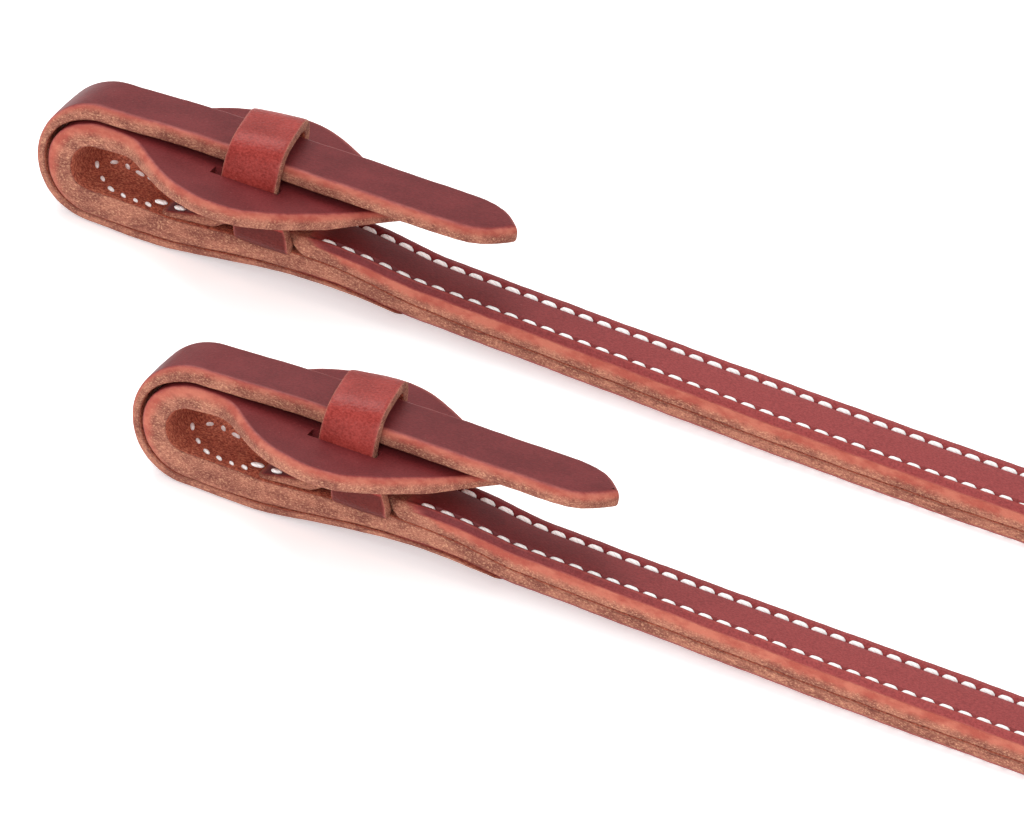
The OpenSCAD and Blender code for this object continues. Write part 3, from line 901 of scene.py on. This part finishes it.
keeper_leather = leather("keeper_leather", (0.2, 0.018, 0.014), (0.4, 0.055, 0.045), 0.6,
                         0.09, 0.3)
for rein in REINS:
    line = keeper_line()
    tangent = ring_tangent(line)
    out = np.stack([line[:, 0] * 0, -tangent[:, 1], tangent[:, 0]], -1)
    lean = np.interp(line[:, 1], *np.array(KEEPER_LEAN).T) + KEEPER_LEN / 2
    skew = KEEPER_SKEW * FRONT_OF[rein]
    centre = np.stack([lean + skew * line[:, 0], line[:, 0], line[:, 1]], -1)
    out_wards = np.sign((out[:, 1:] * (line - [0, KEEPER_WAIST])).sum(-1).mean())
    mesh = band_mesh(f"{rein}_keeper_band", rein, centre, np.tile((1.0, 0, 0), (len(line), 1)),
                     out * out_wards, KEEPER_LEN / 2, KEEPER_T, gape=KEEPER_GAPE,
                     shade_below=KEEPER_SHADE)
    add_piece(f"{rein}_keeper_band", mesh, keeper_leather, f"{rein}_rein", [f"{rein}_keeper"])

# ---------------------------------------------------------------- stitching
# Heavy white waxed thread, sewn through both plies in two rows. Every stitch is a short hump that
# dives into an awl hole at each end; more of them hold the bottom ply inside the loop.
STITCH_LEN = 3.2
STITCH_WIDE = 1.35
STITCH_HIGH = 1.8
UNEVENNESS = 0.05
# How far a stitch's middle line lies under the top and the underside
SUNK = 0.5
SUNK_BELOW = 0.42
# How much of its height a stitch keeps: below, and where the strap is rolled up
PRESS_BELOW = 0.5
PRESS_ROLLED = 0.55
# Between 0 and 1: the lower, the blunter a stitch's ends
BLUNTNESS = 0.72


def thread_material():
    sh = Shader("thread")
    twist = sh.node("ShaderNodeTexWave", {"bands_direction": "DIAGONAL"}, {
        "Vector": sh.spot, "Scale": 420.0, "Distortion": 2.5, "Detail": 2.0}, "Fac")
    wear = sh.noise(1.4, 3, 0.6)
    colour = sh.mix(wear.ramp(0.5, 0.75), (0.97, 0.96, 0.95), (0.86, 0.84, 0.81))
    colour = sh.mix(twist.ramp(0.0, 0.3), (0.84, 0.8, 0.78), colour)
    return sh.finish(Base_Color=colour, Roughness=0.55, Normal=sh.bump(twist, 0.06, 0.8),
                     Specular_IOR_Level=0.35)


def stitch_tree():
    """A node tree that sets one hump of thread on every point, along and out of the leather."""
    tree = bpy.data.node_groups.new("stitches", "GeometryNodeTree")
    new_socket = tree.interface.new_socket
    new_socket("Points", in_out="INPUT", socket_type="NodeSocketGeometry")
    for key in ("Length", "Width", "Height", "Unevenness"):
        new_socket(key, in_out="INPUT", socket_type="NodeSocketFloat")
    new_socket("Seed", in_out="INPUT", socket_type="NodeSocketInt")
    new_socket("Thread", in_out="INPUT", socket_type="NodeSocketMaterial")
    new_socket("Stitches", in_out="OUTPUT", socket_type="NodeSocketGeometry")

    def node(kind, settings=None, output=0, **inputs):
        return make_node(tree, kind, settings or {}, inputs).outputs[output]

    def fact(name, kind):
        return node("GeometryNodeInputNamedAttribute", {"data_type": kind}, Name=name)

    def math_node(operation, a, b=0.0):
        return make_node(tree, "ShaderNodeMath", {"operation": operation}, {0: a, 1: b}).outputs[0]

    sizes = make_node(tree, "NodeGroupInput", {}, {}).outputs
    ball = node("GeometryNodeMeshUVSphere", Segments=10, Rings=5, Radius=0.5)
    # Blunt the ends: a short fat hump, not a grain of rice
    x, y, z = make_node(tree, "ShaderNodeSeparateXYZ", {}, {
        "Vector": node("GeometryNodeInputPosition")}).outputs
    size = math_node("POWER", math_node("ABSOLUTE", math_node("MULTIPLY", x, 2.0)), BLUNTNESS)
    blunt = math_node("MULTIPLY", math_node("MULTIPLY", size, 0.5), math_node("SIGN", x))
    moved = node("ShaderNodeCombineXYZ", X=blunt, Y=y, Z=z)
    ball = node("GeometryNodeSetPosition", Geometry=ball, Position=moved)
    ball = node("GeometryNodeSetShadeSmooth", Geometry=ball)
    turn = node("FunctionNodeAlignRotationToVector", {"axis": "X"},
                Vector=fact("along", "FLOAT_VECTOR"))
    turn = node("FunctionNodeAlignRotationToVector", {"axis": "Z", "pivot_axis": "X"},
                Rotation=turn, Vector=fact("out", "FLOAT_VECTOR"))
    low = math_node("SUBTRACT", 1.0, sizes["Unevenness"])
    high = math_node("ADD", 1.0, sizes["Unevenness"])
    uneven = make_node(tree, "FunctionNodeRandomValue", {"data_type": "FLOAT"}, {
        2: low, 3: high, "Seed": sizes["Seed"]}).outputs[1]
    long = math_node("MULTIPLY", sizes["Length"], fact("reach", "FLOAT"))
    wide = math_node("MULTIPLY", sizes["Width"], fact("reach", "FLOAT"))
    scale = node("ShaderNodeCombineXYZ", X=math_node("MULTIPLY", long, uneven),
                 Y=math_node("MULTIPLY", wide, uneven),
                 Z=math_node("MULTIPLY", sizes["Height"], fact("press", "FLOAT")))
    humps = node("GeometryNodeInstanceOnPoints", Points=sizes["Points"], Instance=ball,
                 Rotation=turn, Scale=scale)
    humps = node("GeometryNodeRealizeInstances", Geometry=humps)
    humps = node("GeometryNodeSetMaterial", Geometry=humps, Material=sizes["Thread"])
    make_node(tree, "NodeGroupOutput", {}, {"Stitches": humps})
    return tree


def sew(name, spots, seed):
    """Stitches as one plain mesh; spots are rows of point, along, out, press and reach."""
    points, along, out, press, reach = zip(*spots)
    guide = bpy.data.meshes.new(name + "_guide")
    guide.from_pydata(points, [], [])
    for key, directions in (("along", along), ("out", out)):
        layer = guide.attributes.new(key, "FLOAT_VECTOR", "POINT")
        layer.data.foreach_set("vector", np.array(directions).reshape(-1))
    write_facts(guide, {"press": press, "reach": reach})
    holder = new_object(name + "_guide", guide)
    modifier = holder.modifiers.new("stitches", "NODES")
    modifier.node_group = stitches
    sockets = {item.name: item.identifier for item in stitches.interface.items_tree}
    for key, value in (("Length", STITCH_LEN * MM), ("Width", STITCH_WIDE * MM),
                       ("Height", STITCH_HIGH * MM), ("Unevenness", UNEVENNESS), ("Seed", seed),
                       ("Thread", thread)):
        modifier[sockets[key]] = value
    mesh = evaluated_mesh(holder, name)
    bpy.data.objects.remove(holder)
    bpy.data.meshes.remove(guide)
    return mesh


def stitch_rows(rein, path, s_values, level, press):
    """Spots of both rows of stitches at each length in s_values."""
    point, wide, out = path.at(s_values)
    ahead = path.at(s_values + 1)[0] - path.at(s_values - 1)[0]
    origin = place(rein, [(0, 0, 0)])[0]
    spots = []
    for side in (-1, 1):
        row = (side * (half_width(s_values) - STITCH_INSET) + FRONT_OF[rein] * ROW_SHIFT)[:, None]
        at = place(rein, point + wide * row + out * level)
        along, away = place(rein, ahead) - origin, place(rein, out) - origin
        spots += list(zip(at, unit(along), unit(away), press(s_values), np.ones(len(at))))
    return spots


thread = thread_material()
stitches = stitch_tree()
# Inside the loop: [x, y, heading in degrees, size], on the flesh side of the bottom ply
LOOP_STITCHES = [(12.1, 4.8, 40, 0.52), (14.85, 4.9, -43, 0.52), (17.8, 4.2, -22, 0.72),
                 (20.5, 3.6, -22, 0.7), (10.0, 1.1, -55, 0.6), (12.8, -2.3, -46, 0.56),
                 (15.8, -5.2, -30, 0.6), (18.8, -6.1, -30, 0.48), (21.5, -6.4, -25, 0.4),
                 (24.1, -6.2, -21, 0.5), (26.3, -5.3, 14, 0.82), (30.3, -5.5, 8, 0.72)]
for rein in REINS:
    seam = seams[rein]
    all_s = FIRST_STITCH + STITCH_PITCH * np.arange(
        int((seam.length[-1] - FIRST_STITCH - 4) / STITCH_PITCH))
    bit_s, strap_s = all_s[all_s < exit_s(rein)], all_s[all_s >= exit_s(rein)]
    shown = lambda s: np.where(s < FINE_TO[rein] - 20, 1.0, PRESS_ROLLED)
    for part, s_values in (("stitching", bit_s), ("strap_stitching", strap_s)):
        spots = stitch_rows(rein, seam, s_values, TOP_T - SUNK, shown)
        spots += stitch_rows(rein, flipped(seam), s_values, BOTTOM_T - SUNK_BELOW,
                             steady(PRESS_BELOW))
        if part == "stitching":
            for x, y, heading, size in LOOP_STITCHES:
                heading = math.radians(heading)
                z, lean = float(np.interp(x, *np.array(SEAM).T)), 0.0
                if x < SEAM[0][0]:
                    lean = math.asin((PLY_BEND[0] - x) / EYE_R)
                    z = PLY_BEND[1] - EYE_R * math.cos(lean)
                z += FLOOR_SWELL + (TONGUE_T * 0.45 if x > TONGUE_START - 2 else 0)
                z += EYE_CURL * curled(y) + 0.1
                along = Vector((math.cos(heading) * math.cos(lean), math.sin(heading),
                                -math.cos(heading) * math.sin(lean)))
                spots.append((place(rein, [(x, -FRONT_OF[rein] * y, z)])[0], along,
                              Vector((math.sin(lean), 0, math.cos(lean))), PRESS_BELOW, size))
        mesh = sew(f"{rein}_{part}_thread", spots, int(SEED[rein]))
        if part == "stitching":
            add_piece(f"{rein}_bit_end_thread", mesh, None, f"{rein}_rein", [f"{rein}_stitching"])
        else:
            add_piece(
                f"{rein}_strap_thread", mesh, None, f"{rein}_rein", ())

# ---------------------------------------------------------------- ties
# Each coil is bound across its turns by two dark laces. A lace is one thong wrapped close round
# the turns, its ends tucked back under it.
TIE_ANGLES = (30, 210)
TIE_W = 8.0
TIE_T = 1.2
TIE_ROOM = 4.3
TIE_CORNER = 1.4
TIE_SWAY = 0.5
TIE_RAW = 0.2
# The turns within this angle of a lace, in radians, are the ones it is drawn tight on
TIE_HOLDS = 0.06


def tie_line(inner, outer, low, high):
    """A lace's inner outline: [distance from the coil's axis, height], with rounded corners."""
    corner = TIE_CORNER
    points = []
    for (x, z), start in (((outer - corner, low + corner), -90),
                          ((outer - corner, high - corner), 0),
                          ((inner + corner, high - corner), 90),
                          ((inner + corner, low + corner), 180)):
        for a in np.radians(np.linspace(start, start + 90, 7)):
            points.append((x + corner * math.cos(a), z + corner * math.sin(a)))
    line = []
    for a, b in zip(points, points[1:] + points[:1]):
        count = max(1, int(math.dist(a, b) / 2))
        line += [tuple(np.array(a) + (np.array(b) - np.array(a)) * t / count)
                 for t in range(count)]
    return np.array(line)


tie_leather = leather("tie_leather", (0.05, 0.016, 0.012), (0.1, 0.03, 0.02), 0.5, 0.03, 0.42)
for rein in REINS:
    coil_low, coil_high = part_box(f"{rein}_coil")
    middle = coil_middle(rein)
    around = seams[rein].points[:, :2] - middle
    bearing = np.arctan2(around[:, 1], around[:, 0])
    work = bmesh.new()
    for angle in TIE_ANGLES:
        a = math.radians(angle)
        here = np.linalg.norm(around[np.cos(bearing - a) > math.cos(TIE_HOLDS)], axis=1)
        here = here[here < COIL_R + 1]
        line = tie_line(here.min() - TIE_ROOM, here.max() + TIE_ROOM, coil_low.z / MM,
                        coil_high.z / MM)
        tangent = ring_tangent(line)
        ray, across = np.array((math.cos(a), math.sin(a))), np.array((-math.sin(a), math.cos(a)))
        sway = TIE_SWAY * np.sin(np.linspace(0, 2 * math.pi, len(line)) * 2 + angle)[:, None]
        flat = line[:, :1] * ray + across * sway
        centre = np.column_stack([flat + middle, line[:, 1]])
        out = np.column_stack([tangent[:, 1:] * ray, -tangent[:, 0]])
        wide = np.tile((*across, 0.0), (len(line), 1))
        loop = band_mesh("lace", rein, centre, wide, out, TIE_W / 2, TIE_T, raw=TIE_RAW)
        work.from_mesh(loop)
        bpy.data.meshes.remove(loop)
    mesh = bpy.data.meshes.new(f"{rein}_ties")
    work.to_mesh(mesh)
    work.free()
    add_piece(
        f"{rein}_laces", finish_mesh(mesh), tie_leather, f"{rein}_rein", [f"{rein}_ties"])

# Points along each free strap's top and bottom plies, every 2 mm from the bit end; nothing is made
# of them
for rein in REINS:
    seam = seams[rein]
    along = np.arange(exit_s(rein), seam.length[-1], 2.0)
    point, wide, out = seam.at(along)
    for ply, level, goes_with in (("bottom", -BOTTOM_T / 2, "ties"), ("top", TOP_T / 2, "stitches")):
        line = [Vector(p) for p in place(rein, point + out * level)]

# ---------------------------------------------------------------- floor and light
# The pair lies on a white sweep of card. Large soft boxes light it from above, from the front
# and from the right.
FLOOR_Z = -0.0004
floor_mesh = bpy.data.meshes.new("floor")
floor_mesh.from_pydata([(x, y, FLOOR_Z) for x, y in ((-4, -4), (4, -4), (4, 4), (-4, 4))], [],
                       [(0, 1, 2, 3)])
floor = new_object("floor", floor_mesh)
card = Shader("card")
floor_mesh.materials.append(card.finish(
    Base_Color=card.mix(card.noise(40, 2), (0.93, 0.93, 0.93), (0.95, 0.95, 0.95)),
    Roughness=0.9, Specular_IOR_Level=0.1, Emission_Color=(1, 1, 1, 1), Emission_Strength=0.45))

world = bpy.data.worlds.new("studio")
world.use_nodes = True
world.node_tree.nodes["Background"].inputs["Color"].default_value = (1, 1, 1, 1)
world.node_tree.nodes["Background"].inputs["Strength"].default_value = 0.6
bpy.context.scene.world = world
# Soft boxes: name, place, size and power
SOFT_BOXES = [("key", (-0.7, 0.5, 1.3), 1.1, 14.0), ("front", (0.1, -1.5, 0.8), 1.2, 12.0),
              ("side", (1.4, 0.2, 0.9), 0.9, 4.0)]
for name, spot, size, power in SOFT_BOXES:
    light = bpy.data.lights.new(name, "AREA")
    light.shape, light.size, light.energy = "DISK", size, power
    lamp = new_object(name, light)
    lamp.location = spot
    lamp.rotation_euler = (Vector(spot) - LOOK_AT).to_track_quat("Z", "Y").to_euler()
bpy.context.scene.view_settings.view_transform = "Standard"
